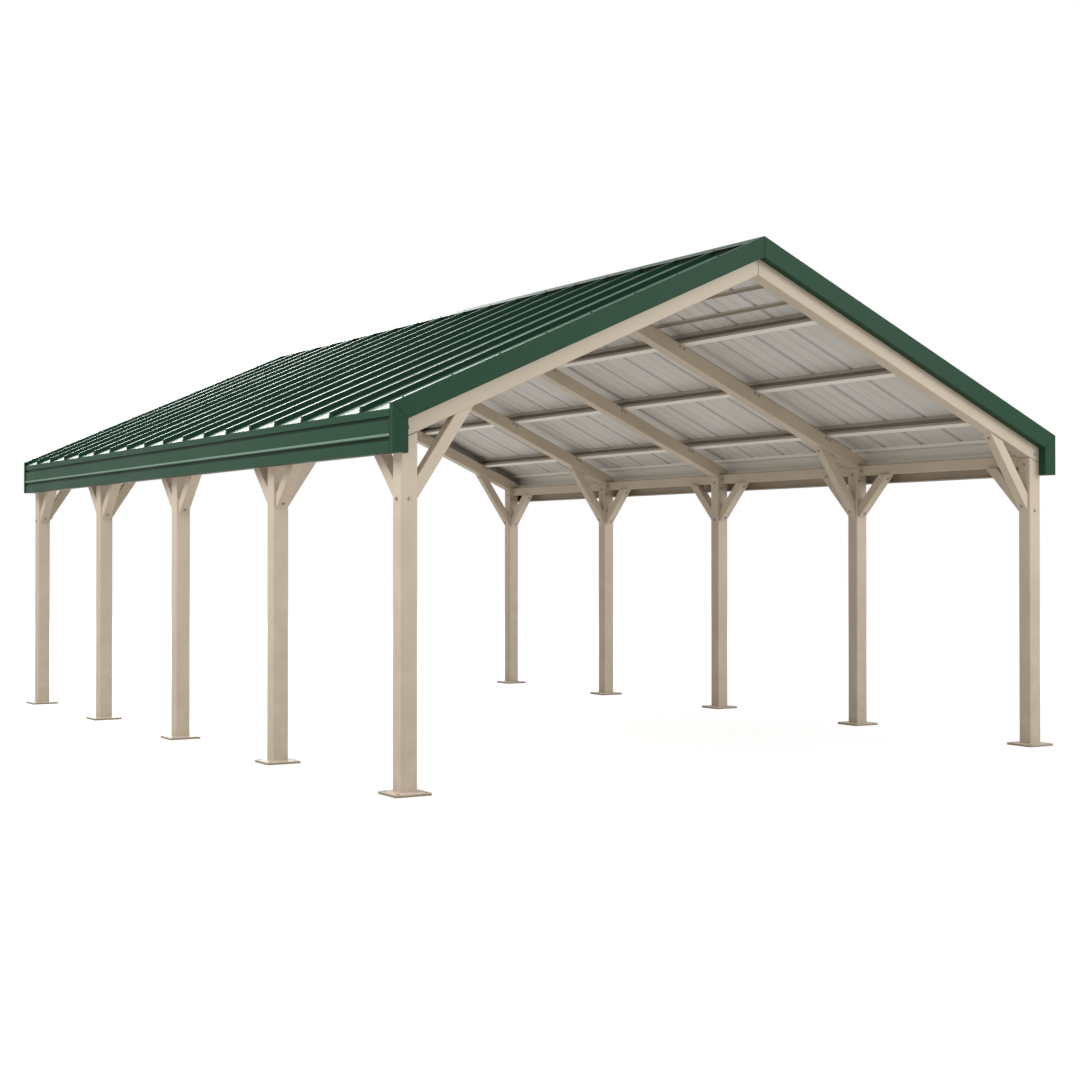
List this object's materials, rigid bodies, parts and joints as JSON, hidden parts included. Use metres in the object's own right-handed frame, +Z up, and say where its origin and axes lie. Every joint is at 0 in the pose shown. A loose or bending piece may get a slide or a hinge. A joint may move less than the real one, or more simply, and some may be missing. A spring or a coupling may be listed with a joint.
{
  "type": "open carport",
  "caption": "Open carport with a ribbed sheet gable roof on square tube posts, rafters, purlins and braces, with bolt-down base plates.",
  "frame": {"origin": "on the ground, at the centre of the plan", "axes": "+X across the span towards the right row of posts, +Y along the ridge away from the front gable, +Z up"},
  "size_m": [6.334, 9, 4.0603],
  "materials": {
    "frame_beige": "satin powder coat",
    "roof_green": "semi-gloss coil coat, pale grey backing coat below",
    "galvanised": "dull galvanised",
    "bolt_zinc": "bright zinc plate"
  },
  "bodies": {
    "root": {"left_post_1": "frame_beige", "left_post_2": "frame_beige", "left_post_3": "frame_beige", "left_post_4": "frame_beige", "left_post_5": "frame_beige", "right_post_1": "frame_beige", "right_post_2": "frame_beige", "right_post_3": "frame_beige", "right_post_4": "frame_beige", "right_post_5": "frame_beige", "left_base_plates": "frame_beige", "right_base_plates": "frame_beige", "front_left_rafter": "frame_beige", "front_right_rafter": "frame_beige", "rear_left_rafter": "frame_beige", "rear_right_rafter": "frame_beige", "inner_left_rafters": "frame_beige", "inner_right_rafters": "frame_beige", "left_eave_beams": "frame_beige", "right_eave_beams": "frame_beige", "left_beam_cleats": "frame_beige", "right_beam_cleats": "frame_beige", "left_rafter_braces": "frame_beige", "right_rafter_braces": "frame_beige", "left_eave_braces": "frame_beige", "right_eave_braces": "frame_beige", "left_purlins": "galvanised", "right_purlins": "galvanised", "left_ridge_stiffeners": "galvanised", "right_ridge_stiffeners": "galvanised", "left_roof_panels": "roof_green", "right_roof_panels": "roof_green", "ridge_cap": "roof_green", "left_eave_channel": "frame_beige", "right_eave_channel": "frame_beige", "left_eave_fascia": "roof_green", "right_eave_fascia": "roof_green", "front_left_rake": "roof_green", "front_right_rake": "roof_green", "rear_left_rake": "roof_green", "rear_right_rake": "roof_green", "front_left_corner_trim": "roof_green", "front_right_corner_trim": "roof_green", "rear_left_corner_trim": "roof_green", "rear_right_corner_trim": "roof_green"}
  },
  "joints": []
}
